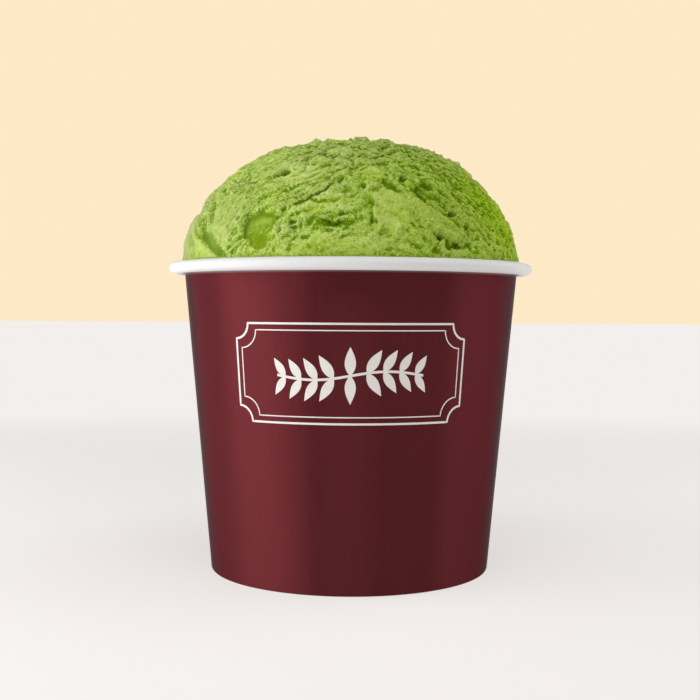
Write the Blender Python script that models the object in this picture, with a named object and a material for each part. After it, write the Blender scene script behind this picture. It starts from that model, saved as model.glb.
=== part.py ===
"""Pint tub of ice cream, heaped well above the tub's rolled rim.

Sizes are in metres, +Z is up, and the origin is the centre of the ring that the tub stands on.
The tub is two pieces of coated paperboard: a wrapped side wall, rolled outwards at the mouth and
folded in at the foot, and a raised base disc whose skirt hangs in that fold. The ice cream is one
body. It fills the tub, laps over the inner shoulder of the roll and swells to a rough dome.
"""

import math

import bmesh
import bpy
import numpy as np
from mathutils import Vector

MM = 0.001

# Tub
TUB_HEIGHT = 87.5 * MM  # foot to the top of the rolled rim
FOOT_RADIUS = 40.0 * MM  # outer face of the wall at the foot
MOUTH_RADIUS = 47.9 * MM  # outer face of the wall, carried up to the top of the rim
BOARD = 0.5 * MM  # thickness of the paperboard
GAP = 0.3 * MM  # clearance between neighbouring pieces
ROLL_WIDTH = 4.8 * MM  # the rolled rim, across
ROLL_HEIGHT = 3.35 * MM
ROLL_TURN = math.radians(310)  # how far round the board is rolled
ROLL_STEPS = 10
FOLD_HEIGHT = 5.0 * MM  # how far the folded foot reaches up inside
FOLD_CORNER = 0.4 * MM  # bend radius of the board's middle at the foot
BASE_TOP = 6.0 * MM  # upper face of the raised base disc
BASE_CORNER = 0.9 * MM  # bend radius between disc and skirt
TUB_SEGMENTS = 56

# Ice cream
DOME_RADIUS = 49.1 * MM  # half width of the dome at its centre
DOME_RISE = 47.6 * MM  # from its centre to the top
DOME_CENTRE = 75.0 * MM  # height of the dome's centre
DOME_SQUARENESS = 2.35  # 2 is a ball, more is fuller at the shoulders
LAP_ANGLE = math.radians(118)  # how far over the roll it laps, from the outer side
LIP_ELEVATION = math.radians(15.5)  # lowest ring of the dome, seen from its centre
FADE_START = 88.0 * MM  # relief grows from nothing here ...
FADE_END = 91.0 * MM  # ... to its full depth here
SWELL = 0.45 * MM  # slow unevenness of the whole dome
CREAM_SEGMENTS = 84
DOME_RINGS = 18
SHOULDER_RINGS = 4

# Marks of the scoop: azimuth from the front, elevation from the dome's centre, slope of the long
# axis (all in degrees), half length, half width and depth (in mm; a negative depth is a ridge).
MARKS = {
    "oval_pit": (-29.5, 22.5, 80, 4.5, 3.6, 1.8),
    "small_pit": (-27, 42, 0, 2.8, 2.2, 1.3),
    "long_hollow": (29.5, 34, -42, 6.5, 3.2, 3.0),
    "crevice": (-8, 24.3, 3, 8.0, 2.2, 2.0),
    "ledge": (-14, 36.5, 37, 11.0, 3.5, -0.8),
    "under_ledge": (-12, 29, 30, 10.0, 3.5, 0.9),
    "left_fold": (-51, 19, -38, 9.0, 2.5, 1.3),
    "left_lobe": (-82, 21, 80, 8.0, 7.0, -1.0),
    "right_crumbs": (32, 22, 45, 6.0, 3.0, -1.0),
    "right_shade": (36, 18.5, 20, 5.0, 3.6, 1.6),
    "top_knob_right": (52, 77, 0, 4.6, 4.0, -1.0),
    "top_knob_left": (-42, 79, 0, 4.4, 3.8, -0.7),
    "back_hollow": (155.5, 32, 42, 6.5, 3.2, 2.6),
    "back_pit": (-145.5, 20.5, -80, 4.5, 3.6, 1.7),
    "back_crevice": (-167, 22.3, -3, 8.0, 2.2, 1.6),
    "back_ledge": (-161, 34.5, -37, 11.0, 3.5, -0.8),
    "back_under_ledge": (-163, 27, -30, 10.0, 3.5, 0.9),
    "right_plate": (94, 30, -50, 7.0, 4.0, 1.0),
    "left_pit": (-118, 27, 30, 3.4, 2.6, 1.2),
}

CREAM_GREEN = (0.35, 0.49, 0.09)
BOARD_RED = (0.11, 0.022, 0.027)
BOARD_WHITE = (0.80, 0.80, 0.79)


def material(name, colour, roughness):
    made = bpy.data.materials.new(name)
    made.use_nodes = True
    shader = made.node_tree.nodes["Principled BSDF"]
    shader.inputs["Base Color"].default_value = (*colour, 1)
    shader.inputs["Roughness"].default_value = roughness
    shader.inputs["Metallic"].default_value = 0
    return made


def wall_inner(z):
    """Radius of the inner face of the side wall at height z."""
    return FOOT_RADIUS - BOARD + (MOUTH_RADIUS - FOOT_RADIUS) * z / TUB_HEIGHT


def arc(centre, radii, start, end, steps):
    """Points (r, z) along an elliptical arc between two angles."""
    angles = np.linspace(start, end, steps + 1)
    (r, z), (wide, high) = centre, radii
    return [(r + wide * math.cos(a), z + high * math.sin(a)) for a in angles]


def board_outline(path):
    """Closed outline of a board of even thickness, bent along the path of its middle."""
    points = np.array(path)
    along = np.diff(points, axis=0)
    along /= np.linalg.norm(along, axis=1)[:, None]
    before = np.vstack([along[:1], along])
    after = np.vstack([along, along[-1:]])
    mitre = before + after
    normal = np.stack([-mitre[:, 1], mitre[:, 0]], axis=1)
    normal /= np.einsum("ij,ij->i", mitre, after)[:, None]
    left, right = points + normal * BOARD / 2, points - normal * BOARD / 2
    return [tuple(p) for p in np.vstack([left, right[::-1]])]


def turned(name, outline, segments, closed, made_of):
    """The outline of (r, z) points turned all the way round the Z axis, as one closed body."""
    bm = bmesh.new()
    ring = [bm.verts.new((r, 0, z)) for r, z in outline]
    pairs = list(zip(ring, ring[1:])) + ([(ring[-1], ring[0])] if closed else [])
    edges = [bm.edges.new(pair) for pair in pairs]
    bmesh.ops.spin(
        bm, geom=ring + edges, axis=(0, 0, 1), cent=(0, 0, 0), steps=segments, angle=math.tau
    )
    bmesh.ops.remove_doubles(bm, verts=bm.verts, dist=0.001 * MM)
    bmesh.ops.recalc_face_normals(bm, faces=bm.faces)
    mesh = bpy.data.meshes.new(name)
    bm.to_mesh(mesh)
    bm.free()
    mesh.shade_smooth()
    mesh.set_sharp_from_angle(angle=math.radians(40))
    mesh.materials.append(made_of)
    made = bpy.data.objects.new(name, mesh)
    bpy.context.scene.collection.objects.link(made)
    return made


def roll_centre():
    z = TUB_HEIGHT - ROLL_HEIGHT / 2
    return wall_inner(z) + ROLL_WIDTH / 2, z


def side_wall():
    """Folded foot, tapered wall and rolled rim, all one board."""
    corner, low = FOLD_CORNER, BOARD / 2
    fold = wall_inner(0) - 2 * GAP - 1.5 * BOARD
    fold_top = fold + wall_inner(FOLD_HEIGHT) - wall_inner(0)
    wall = wall_inner(0) + BOARD / 2
    path = [(fold_top, FOLD_HEIGHT)]
    path += arc((fold + corner, low + corner), (corner, corner), math.pi, 1.5 * math.pi, 2)
    path += arc((wall - corner, low + corner), (corner, corner), 1.5 * math.pi, math.tau, 2)
    radii = (ROLL_WIDTH - BOARD) / 2, (ROLL_HEIGHT - BOARD) / 2
    path += arc(roll_centre(), radii, math.pi, math.pi - ROLL_TURN, ROLL_STEPS)
    board = material("red_board", BOARD_RED, 0.35)
    return turned("cup_wall", board_outline(path), TUB_SEGMENTS, True, board)


def base_disc():
    """Flat disc with a skirt that hangs between the wall and the folded foot."""
    skirt_low = BOARD + GAP
    reach = wall_inner(BASE_TOP) - GAP
    corner = BASE_CORNER
    outline = [(0, BASE_TOP)]
    outline += arc((reach - corner, BASE_TOP - corner), (corner, corner), math.pi / 2, 0, 3)
    outer = wall_inner(skirt_low) - GAP
    outline += [(outer, skirt_low), (outer - BOARD, skirt_low)]
    inner = corner - BOARD
    outline += arc((reach - corner, BASE_TOP - corner), (inner, inner), 0, math.pi / 2, 2)
    outline += [(0, BASE_TOP - BOARD)]
    board = material("white_board", BOARD_WHITE, 0.5)
    return turned("cup_base", outline, TUB_SEGMENTS, False, board)


def dome_reach(elevation):
    """Distance from the dome's centre to its smooth surface."""
    level, rise = abs(np.cos(elevation)) / DOME_RADIUS, abs(np.sin(elevation)) / DOME_RISE
    return (level**DOME_SQUARENESS + rise**DOME_SQUARENESS) ** (-1 / DOME_SQUARENESS)


def mark_depth(direction, mark):
    """How deep one mark of the scoop is where this direction leaves the dome."""
    azimuth, elevation, slope = (math.radians(a) for a in mark[:3])
    half_length, half_width, depth = (size * MM for size in mark[3:])
    outward = Vector((
        math.sin(azimuth) * math.cos(elevation),
        -math.cos(azimuth) * math.cos(elevation),
        math.sin(elevation),
    ))
    if direction.dot(outward) <= 0:
        return 0
    level = Vector((math.cos(azimuth), math.sin(azimuth), 0))
    rising = outward.cross(level)
    across, up = direction.dot(level) * DOME_RADIUS, direction.dot(rising) * DOME_RADIUS
    along = across * math.cos(slope) + up * math.sin(slope)
    aside = up * math.cos(slope) - across * math.sin(slope)
    return depth * math.exp(-((along / half_length) ** 2) - (aside / half_width) ** 2)


def relief(point):
    """How far the rough surface stands out from the smooth dome at this point."""
    direction = (point - Vector((0, 0, DOME_CENTRE))).normalized()
    x, y, z = direction
    swell = math.sin(5 * x + 2 * z) * math.sin(4 * y - 3 * z + 1) + math.sin(7 * z + 3 * x - 4 * y) / 2
    grown = min(max((point.z - FADE_START) / (FADE_END - FADE_START), 0), 1)
    depth = sum(mark_depth(direction, mark) for mark in MARKS.values())
    return direction * (SWELL * swell - depth) * grown


def ice_cream():
    """The filling, the shoulder that laps over the roll, and the dome."""
    low = BASE_TOP + GAP
    corner = BASE_CORNER
    floor = wall_inner(low) - GAP - corner
    outline = [(0, low)] + arc((floor, low + corner), (corner, corner), -math.pi / 2, 0, 2)
    shoulder = ROLL_WIDTH / 2 + GAP, ROLL_HEIGHT / 2 + GAP
    outline += arc(roll_centre(), shoulder, math.pi, LAP_ANGLE, SHOULDER_RINGS)
    for elevation in np.linspace(LIP_ELEVATION, math.pi / 2, DOME_RINGS):
        reach = dome_reach(elevation)
        outline.append((reach * math.cos(elevation), DOME_CENTRE + reach * math.sin(elevation)))
    outline[-1] = (0, outline[-1][1])
    cream = material("green_cream", CREAM_GREEN, 0.55)
    made = turned("ice_cream", outline, CREAM_SEGMENTS, False, cream)
    for vertex in made.data.vertices:
        if vertex.co.z > FADE_START:
            vertex.co += relief(vertex.co)
    return made


def main():
    for old in list(bpy.data.objects):
        bpy.data.objects.remove(old)
    side_wall()
    base_disc()
    ice_cream()


main()
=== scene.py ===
"""Looks of a pint tub of ice cream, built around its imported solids.

The tub's board, its print and the ice cream are surfaces worked out from the sizes in the property
groups below. The relief of the dome is worked out in millimetres, and the angles of its marks are
in degrees; everything else is in metres and radians.
"""

import math

import bpy
import numpy as np
from bpy.props import FloatProperty, FloatVectorProperty, IntProperty, PointerProperty
from mathutils import Matrix, Vector


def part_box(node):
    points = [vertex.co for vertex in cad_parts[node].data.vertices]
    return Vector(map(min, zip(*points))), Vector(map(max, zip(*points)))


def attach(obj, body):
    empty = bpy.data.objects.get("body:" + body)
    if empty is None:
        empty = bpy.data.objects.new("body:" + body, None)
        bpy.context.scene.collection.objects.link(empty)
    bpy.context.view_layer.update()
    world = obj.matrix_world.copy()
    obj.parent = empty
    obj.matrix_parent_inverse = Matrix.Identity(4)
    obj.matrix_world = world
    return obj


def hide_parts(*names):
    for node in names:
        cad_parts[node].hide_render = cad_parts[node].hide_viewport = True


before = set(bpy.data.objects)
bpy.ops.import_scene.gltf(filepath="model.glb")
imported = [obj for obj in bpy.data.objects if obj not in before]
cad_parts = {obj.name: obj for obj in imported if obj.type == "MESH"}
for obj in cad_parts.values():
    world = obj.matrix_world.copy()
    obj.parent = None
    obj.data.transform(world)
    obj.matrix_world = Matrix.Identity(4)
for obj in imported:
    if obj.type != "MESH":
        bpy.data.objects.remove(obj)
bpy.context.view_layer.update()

bl_info = {
    "name": "Pint of Ice Cream",
    "version": (1, 0, 0),
    "blender": (4, 5, 0),
    "location": "3D View > Sidebar > Ice Cream",
    "description": "Makes a paperboard pint tub heaped with ice cream",
    "category": "Add Mesh",
}

MM = 0.001
RIM_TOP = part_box("cup_wall")[1].z
BASE_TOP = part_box("cup_base")[1].z
GAP = 0.3 * MM  # clearance where boards touch, as in the CAD


# ---------------------------------------------------------------- sizes and colours


def length(name, text, default):
    """A size in metres."""
    return FloatProperty(name=name, description=text, default=default, min=0, unit="LENGTH", precision=5)


def angle(name, text, degrees):
    """An angle, kept in radians."""
    return FloatProperty(name=name, description=text, default=math.radians(degrees), subtype="ANGLE")


def colour(name, text, default):
    """A colour in linear light."""
    return FloatVectorProperty(
        name=name, description=text, default=default, size=3, min=0, max=1, subtype="COLOR"
    )


class TubSettings(bpy.types.PropertyGroup):
    """Sizes and colours of the paperboard tub."""

    foot_radius: length("Foot Radius", "Outer face of the wall at the foot", 0.0400)
    mouth_radius: length("Mouth Radius", "Outer face of the wall, carried up to the rim's top", 0.0479)
    board: length("Board", "Thickness of the paperboard", 0.0005)
    roll_width: length("Roll Width", "The rolled rim, across", 0.0048)
    roll_height: length("Roll Height", "The rolled rim, from top to bottom", 0.00335)
    fold_height: length("Fold Height", "How far the folded foot reaches up inside", 0.0050)
    seam_width: length("Seam Width", "Overlap of the wall's glued side seam, at the back", 0.0085)
    seam_step: length("Seam Step", "How far the overlap stands out", 0.00035)
    roll_turn: angle("Roll Turn", "How far round the board is rolled", 310)
    red: colour("Red", "Printed outside of the wall", (0.150, 0.0265, 0.0316))
    white: colour("White", "Bare coated board", (0.74, 0.74, 0.74))


class PrintSettings(bpy.types.PropertyGroup):
    """The plain panel and sprig printed on the front of the tub."""

    middle: length("Middle", "Height of the panel's middle", 0.0580)
    width: length("Width", "Panel width, along the wall", 0.0625)
    height: length("Height", "Panel height", 0.0255)
    line: length("Line", "Width of the panel's line", 0.00055)
    ink: colour("Ink", "Off-white ink", (0.80, 0.76, 0.73))


class CreamSettings(bpy.types.PropertyGroup):
    """Size, roughness and colours of the ice cream."""

    dome_radius: length("Dome Radius", "Half width of the dome at its centre", 0.0491)
    dome_rise: length("Dome Rise", "From the dome's centre to its top", 0.0471)
    dome_centre: length("Dome Centre", "Height of the dome's centre", 0.0750)
    squareness: FloatProperty(
        name="Squareness", description="2 is a ball, more is fuller at the shoulders", default=2.35, min=2
    )
    cells: IntProperty(
        name="Cells", description="Grid cells along one side of the dome's square grid", default=288, min=32
    )
    lip: angle("Lip", "Lowest ring of the dome, seen from its centre", 15.5)
    # Pale is partly the frost of torn crests and partly a painted highlight on them; deep is painted shade
    # in pits and creases.
    pale: colour("Pale", "Crests and torn edges", (0.710, 0.900, 0.238))
    green: colour("Green", "Most of the surface", (0.530, 0.770, 0.082))
    deep: colour("Deep", "Inside pits and creases", (0.210, 0.400, 0.0020))
    # Milky is the smeared cream, and also a painted sheen on the upper left flank.
    milky: colour("Milky", "Where the scoop smeared it", (0.335, 0.345, 0.195))
    # Multiplies in a yellower green: partly the cream's own colour, partly painted shade over the right
    # side.
    lime_and_right_shade: colour("Lime", "Multiplies the green at the right", (0.86, 0.97, 0.10))
    even: FloatVectorProperty(
        name="Even", description="Multiplies the colours where smooth", default=(0.765, 0.665, 1.03), size=3
    )


class StageSettings(bpy.types.PropertyGroup):
    """Camera, floor and lights."""

    lens: FloatProperty(name="Lens", description="Focal length on a 36 mm sensor", default=59.76, min=10)
    distance: length("Distance", "Camera to the tub's axis", 0.3377)
    eye: length("Eye Height", "Camera above the floor", 0.0745)
    aside: FloatProperty(name="Aside", description="Camera to the right", default=-0.0001, unit="LENGTH")
    pitch: angle("Pitch", "Camera looks down", 2.023)
    lean: angle("Lean", "Camera roll", 0.321)
    floor: colour("Floor", "Pale floor", (0.888, 0.855, 0.831))
    world: colour("World", "Pale surroundings", (0.984, 0.815, 0.565))
    fill: FloatProperty(name="Fill", description="Light from all round", default=0.13, min=0)


# ---------------------------------------------------------------- noise

NOISE_SCALE = 1.6  # brings gradient noise up to about -1..1


def unit(vectors):
    """Each row of an array, scaled to length 1."""
    return vectors / np.linalg.norm(vectors, axis=1)[:, None]


def lattice_noise(points, seed):
    """Gradient noise in -1..1: every corner of a unit lattice has a random direction, and the value
    is the dot product of that direction with the offset from the corner, blended between the eight
    corners by 6t^5 - 15t^4 + 10t^3."""
    random = np.random.RandomState(seed)
    table = random.permutation(256)
    ways = unit(random.normal(size=(256, 3)))
    cell = np.floor(points).astype(int)
    t = points - cell
    blend = t * t * t * (t * (t * 6 - 15) + 10)
    total = np.zeros(len(points))
    for corner in np.ndindex(2, 2, 2):
        x, y, z = ((cell + corner) & 255).T
        way = ways[table[(table[(table[x] + y) & 255] + z) & 255]]
        share = np.prod(np.where(corner, blend, 1 - blend), axis=1)
        total += share * np.einsum("ij,ij->i", way, t - corner)
    return NOISE_SCALE * total


def layered_noise(points, seed, layers=3, gain=0.5):
    """Sum of gradient noises, each at twice the frequency and gain times the strength of the last."""
    total = sum(gain**k * lattice_noise(points * 2.0**k, seed + k) for k in range(layers))
    return total / sum(gain**k for k in range(layers))


def noise_shift(points, size, seed):
    """A random vector at each point, smooth over a given size: three layered noises, far apart."""
    return np.stack(
        [layered_noise(points / size + 31.7 * k, seed + 11 * k, 2) for k in range(3)], axis=1
    )


def cell_noise(points, seed):
    """Distance to the nearest and second nearest of one random point in each lattice cell, and a
    random number in -1..1 that belongs to the nearest."""
    random = np.random.RandomState(seed)
    table = random.permutation(256)
    spots = random.uniform(size=(256, 3))
    tints = random.uniform(-1, 1, size=256)
    cell = np.floor(points).astype(int)
    first = np.full(len(points), 9.0)
    second = first.copy()
    tint = np.zeros(len(points))
    for step in np.ndindex(3, 3, 3):
        near = cell + np.array(step) - 1
        x, y, z = (near & 255).T
        key = table[(table[(table[x] + y) & 255] + z) & 255]
        gap = np.linalg.norm(near + spots[key] - points, axis=1)
        closer = gap < first
        second = np.where(closer, first, np.minimum(second, gap))
        tint = np.where(closer, tints[key], tint)
        first = np.where(closer, gap, first)
    return first, second, tint


def ease(low, high, value):
    """0 below low, 1 above high and 3t^2 - 2t^3 between; low may be the larger one."""
    t = np.clip((value - low) / (high - low), 0, 1)
    return t * t * (3 - 2 * t)


# ---------------------------------------------------------------- meshes


def new_piece(name, points, faces, material, smooth=True):
    """A mesh object at the origin from points in metres. Its faces all run the same way round, and
    are turned outwards if the signed volume over them comes out negative."""
    corners = np.array([face[:3] for face in faces])
    a, b, c = points[corners[:, 0]], points[corners[:, 1]], points[corners[:, 2]]
    if np.einsum("ij,ij->", a, np.cross(b, c)) < 0:
        faces = [face[::-1] for face in faces]
    mesh = bpy.data.meshes.new(name)
    mesh.from_pydata(points.tolist(), [], faces)
    mesh.polygons.foreach_set("use_smooth", np.full(len(mesh.polygons), smooth))
    mesh.materials.append(material)
    mesh.update()
    made = bpy.data.objects.new(name, mesh)
    bpy.context.scene.collection.objects.link(made)
    return made


def quads(rows, columns, wrap_rows, wrap_columns):
    """Faces between neighbouring points of a rows by columns grid, closed round where it wraps."""
    r = np.arange(rows if wrap_rows else rows - 1)
    c = np.arange(columns if wrap_columns else columns - 1)
    i, j = np.meshgrid(r, c, indexing="ij")
    below, beside = (i + 1) % rows, (j + 1) % columns
    corners = i * columns + j, below * columns + j, below * columns + beside, i * columns + beside
    return np.stack([k.ravel() for k in corners], axis=1).tolist()


def fan(centre, ring):
    """Triangles from one point to each side of a closed ring of points, all given by their indices."""
    return np.stack([np.full(len(ring), centre), ring, np.roll(ring, -1)], axis=1).tolist()


def set_attribute(piece, name, values):
    """A number for each point, that the piece's material reads by this name."""
    made = piece.data.attributes.new(name, "FLOAT", "POINT")
    made.data.foreach_set("value", np.asarray(values, np.float32))


def arc(centre, radii, start, end, steps):
    """Points (r, z) along an elliptical arc between two angles in radians."""
    angles = np.linspace(start, end, steps + 1)
    return np.array(centre) + np.array(radii) * np.stack([np.cos(angles), np.sin(angles)], axis=1)


# ---------------------------------------------------------------- materials


def shade(colour, factor):
    """A colour made darker or lighter by a factor."""
    return [min(1, channel * factor) for channel in colour]


class Shader:
    """A material's node tree, with short ways to add and join its nodes."""

    def __init__(self, name):
        self.material = bpy.data.materials.new(name)
        self.material.use_nodes = True
        self.tree = self.material.node_tree
        self.surface = self.tree.nodes["Principled BSDF"]

    def feed(self, entry, value):
        """Link a socket to an input, or set the input to a number, a vector or a colour."""
        if isinstance(value, bpy.types.NodeSocket):
            self.tree.links.new(value, entry)
        else:
            entry.default_value = (*value, 1) if entry.type == "RGBA" else value

    def add(self, kind, inputs, **settings):
        """A node of this kind: settings are its own, inputs are fed by name or number."""
        node = self.tree.nodes.new(kind)
        for key, value in settings.items():
            setattr(node, key, value)
        for key, value in inputs.items():
            self.feed(node.inputs[key], value)
        return node

    def set(self, **values):
        """Feed inputs of the surface, with an underscore for each space in their names."""
        for key, value in values.items():
            self.feed(self.surface.inputs[key.replace("_", " ")], value)

    def object_coordinates(self):
        """Place on the piece in metres, which stays with the piece."""
        return self.add("ShaderNodeTexCoord", {}).outputs["Object"]

    def attribute(self, name):
        return self.add("ShaderNodeAttribute", {}, attribute_name=name).outputs["Fac"]

    def noise(self, scale, detail=2.0, stretch=(1, 1, 1), roughness=0.5):
        """Noise on Object coordinates with scale in waves for each metre, stretched by a mapping."""
        place = self.add("ShaderNodeMapping", {"Scale": stretch, "Vector": self.object_coordinates()})
        inputs = {"Scale": scale, "Detail": detail, "Roughness": roughness, "Vector": place.outputs[0]}
        return self.add("ShaderNodeTexNoise", inputs).outputs["Fac"]

    def ramp(self, source, low, high, to_low=0.0, to_high=1.0):
        """Straight run from to_low to to_high as the source goes from low to high, and flat beyond."""
        inputs = {"Value": source, "From Min": low, "From Max": high, "To Min": to_low, "To Max": to_high}
        return self.add("ShaderNodeMapRange", inputs).outputs["Result"]

    def plus(self, first, second):
        return self.add("ShaderNodeMath", {0: first, 1: second}).outputs[0]

    def scaled(self, source, gain, offset):
        """The source times gain, plus offset."""
        inputs = {0: source, 1: gain, 2: offset}
        return self.add("ShaderNodeMath", inputs, operation="MULTIPLY_ADD").outputs[0]

    def mix(self, share, first, second, blend="MIX"):
        """Colour between first and second, or first times second; each is a colour or a socket."""
        inputs = {"Factor": share, 6: first, 7: second}
        return self.add("ShaderNodeMix", inputs, data_type="RGBA", blend_type=blend).outputs[2]

    def flecked(self, share, colour, dark):
        """The colour, and the same colour darkened where the share is low."""
        return self.mix(self.ramp(share, 0.3, 0.7), shade(colour, dark), colour)

    def bump(self, height, distance, strength, **under):
        """The normal over a height, on top of another Normal where one is given."""
        inputs = {"Height": height, "Distance": distance, "Strength": strength, **under}
        return self.add("ShaderNodeBump", inputs).outputs["Normal"]


def board_material(tub):
    """Coated board: wine red satin print outside, bare white elsewhere, with a faint vertical grain."""
    shader = Shader("printed_board")
    grain = shader.noise(900, 3, (1, 1, 0.05))
    cloud = shader.noise(60, 3, (1, 1, 0.4))
    red = shader.mix(shader.ramp(grain, 0.35, 0.65), shade(tub.red, 0.93), shade(tub.red, 1.07))
    red = shader.mix(shader.ramp(cloud, 0.3, 0.7, 0.0, 0.5), red, shade(tub.red, 0.9))
    printed = shader.attribute("printed")
    around = shader.add("ShaderNodeTangent", {}, direction_type="RADIAL", axis="Z")
    shader.set(
        Base_Color=shader.mix(printed, tub.white, red),
        Roughness=shader.ramp(grain, 0.3, 0.7, 0.47, 0.53),
        Specular_IOR_Level=0.1,
        Specular_Tint=(0.40, 0.40, 0.41),
        Metallic=shader.ramp(printed, 0, 1, 0.0, 0.80),
        Anisotropic=1.0,
        Anisotropic_Rotation=0.25,
        Tangent=around.outputs["Tangent"],
        Normal=shader.bump(shader.noise(2600, 3), 0.02 * MM, 0.5),
    )
    return shader.material


def white_board_material(tub):
    """Bare coated board: white with faint fibres."""
    shader = Shader("white_board")
    shader.set(
        Base_Color=shader.flecked(shader.noise(500, 4), tub.white, 0.96),
        Roughness=0.42,
        Normal=shader.bump(shader.noise(2600, 3), 0.02 * MM, 0.6),
    )
    return shader.material


def ink_material(ink):
    """Off-white ink that covers a little unevenly."""
    shader = Shader("white_ink")
    shader.set(Base_Color=shader.flecked(shader.noise(1500, 3), ink.ink, 0.94), Roughness=0.45)
    return shader.material


def cream_material(cream):
    """Firm ice cream: one tone runs from deep green in pores and hollows, painted shade, over plain green,
    to pale on torn crests, partly their frosty colour and partly a painted highlight. It is the sum of
    the relief's painted shade and the painted light and shade listed by place, a mottle and two sizes of
    icy grain, which fade where the surface is smooth. Smooth places are evened out; the right side is
    turned a yellower green, partly its own colour and partly painted shade; and where the scoop smeared
    it, and on the upper left flank as a painted sheen, it is milky. A little light is carried under the
    surface."""
    shader = Shader("green_cream")
    smooth = shader.attribute("smooth")
    rough = shader.ramp(smooth, 0, 1, 1.0, 0.3)
    grain = shader.noise(1150, 3, roughness=0.75)
    fine = shader.noise(2700, 2, roughness=0.6)
    speckle = shader.plus(shader.scaled(fine, 2.4, -1.20), shader.scaled(grain, 2.2, -1.10))
    # The tone starts from the painted shade: painted shade in pores and hollows, painted highlight on
    # crests.
    tone = shader.scaled(shader.attribute("painted_shade"), -1.35, 1.16)
    tone = shader.plus(shader.scaled(smooth, -0.10, 0.0), tone)
    tone = shader.plus(shader.scaled(shader.noise(220, 3, roughness=0.6), 0.9, -0.45), tone)
    tone = shader.scaled(speckle, rough, tone)
    # Deep green is painted shade; pale is partly frost on crests and partly a painted highlight.
    plain = shader.mix(shader.ramp(tone, 0, 0.5), cream.deep, cream.green)
    crest = shader.mix(shader.ramp(tone, 0.5, 1.0), plain, cream.pale)
    even = shader.mix(smooth, crest, cream.even, "MULTIPLY")
    # Yellower green over the right side: partly the cream's own colour, partly painted shade.
    yellowed_and_shaded = shader.mix(shader.attribute("lime_and_right_shade"), even, cream.lime_and_right_shade, "MULTIPLY")
    # Milky where the scoop smeared the cream, and a painted sheen on the upper left flank.
    smear_and_sheen = shader.ramp(shader.attribute("smear_and_sheen"), 0, 1, 0, 0.6)
    coarse = shader.bump(grain, 1.6 * MM, rough)
    shader.set(
        Base_Color=shader.mix(smear_and_sheen, yellowed_and_shaded, cream.milky),
        Roughness=shader.ramp(grain, 0.3, 0.7, 0.55, 0.75),
        Subsurface_Weight=0.12,
        Subsurface_Radius=(0.9, 1.3, 0.3),
        Subsurface_Scale=0.6 * MM,
        Specular_IOR_Level=0.05,
        Normal=shader.bump(fine, 0.9 * MM, rough, Normal=coarse),
    )
    return shader.material


# ---------------------------------------------------------------- tub

WALL_COLUMNS = 420  # points once round the wall
BASE_COLUMNS = 192


def wall_inner(tub, z):
    """Radius of the inner face of the side wall at height z, in metres."""
    return tub.foot_radius - tub.board + (tub.mouth_radius - tub.foot_radius) * z / RIM_TOP


def roll_centre(tub):
    """Middle of the rolled rim, as (r, z)."""
    z = RIM_TOP - tub.roll_height / 2
    return wall_inner(tub, z) + tub.roll_width / 2, z


def board_path(tub):
    """Middle of the wall's board from the folded foot, round the ring it stands on, up the wall
    and round the rolled rim, as points (r, z)."""
    corner, low = 0.4 * MM, tub.board / 2
    fold = wall_inner(tub, 0) - 2 * GAP - 1.5 * tub.board
    fold_top = fold + wall_inner(tub, tub.fold_height) - wall_inner(tub, 0)
    wall = wall_inner(tub, 0) + low
    first = arc((fold + corner, low + corner), (corner, corner), math.pi, 1.5 * math.pi, 6)
    last = arc((wall - corner, low + corner), (corner, corner), 1.5 * math.pi, math.tau, 6)
    radii = (tub.roll_width - tub.board) / 2, (tub.roll_height - tub.board) / 2
    roll = arc(roll_centre(tub), radii, math.pi, math.pi - tub.roll_turn, 56)
    rise = np.linspace(last[-1], roll[0], 40)[1:-1]
    inner = np.linspace((fold_top, tub.fold_height), first[0], 6)[:-1]
    return np.vstack([inner, first, last, rise, roll])


def board_outline(path, board):
    """Closed outline of a board of even thickness: the path moved half a board to each side along
    its mitred normals, out along one side and back along the other."""
    along = unit(np.diff(path, axis=0))
    before = np.vstack([along[:1], along])
    after = np.vstack([along, along[-1:]])
    mitre = before + after
    normal = np.stack([-mitre[:, 1], mitre[:, 0]], axis=1)
    normal /= np.einsum("ij,ij->i", mitre, after)[:, None]
    return np.vstack([path + normal * board / 2, (path - normal * board / 2)[::-1]])


def turn_outline(outline, columns):
    """Grid of points: outline row by column of azimuth from the front, and the azimuth of each."""
    azimuth = np.arange(columns) * math.tau / columns
    r, z = outline[:, :1], outline[:, 1:]
    x, y = r * np.sin(azimuth), -r * np.cos(azimuth)
    return np.stack([x, y, np.broadcast_to(z, x.shape)], axis=2), azimuth


def seam_rise(tub, azimuth, radius):
    """How far the lapped side seam at the back lifts the outer face: a low step as wide as the
    overlap, sharp at its free edge and eased out on the other side."""
    across = (azimuth - math.pi) * radius
    free = ease(-0.15 * MM, 0.15 * MM, across)
    eased = ease(tub.seam_width, tub.seam_width * 0.55, across)
    return tub.seam_step * free * eased


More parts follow.
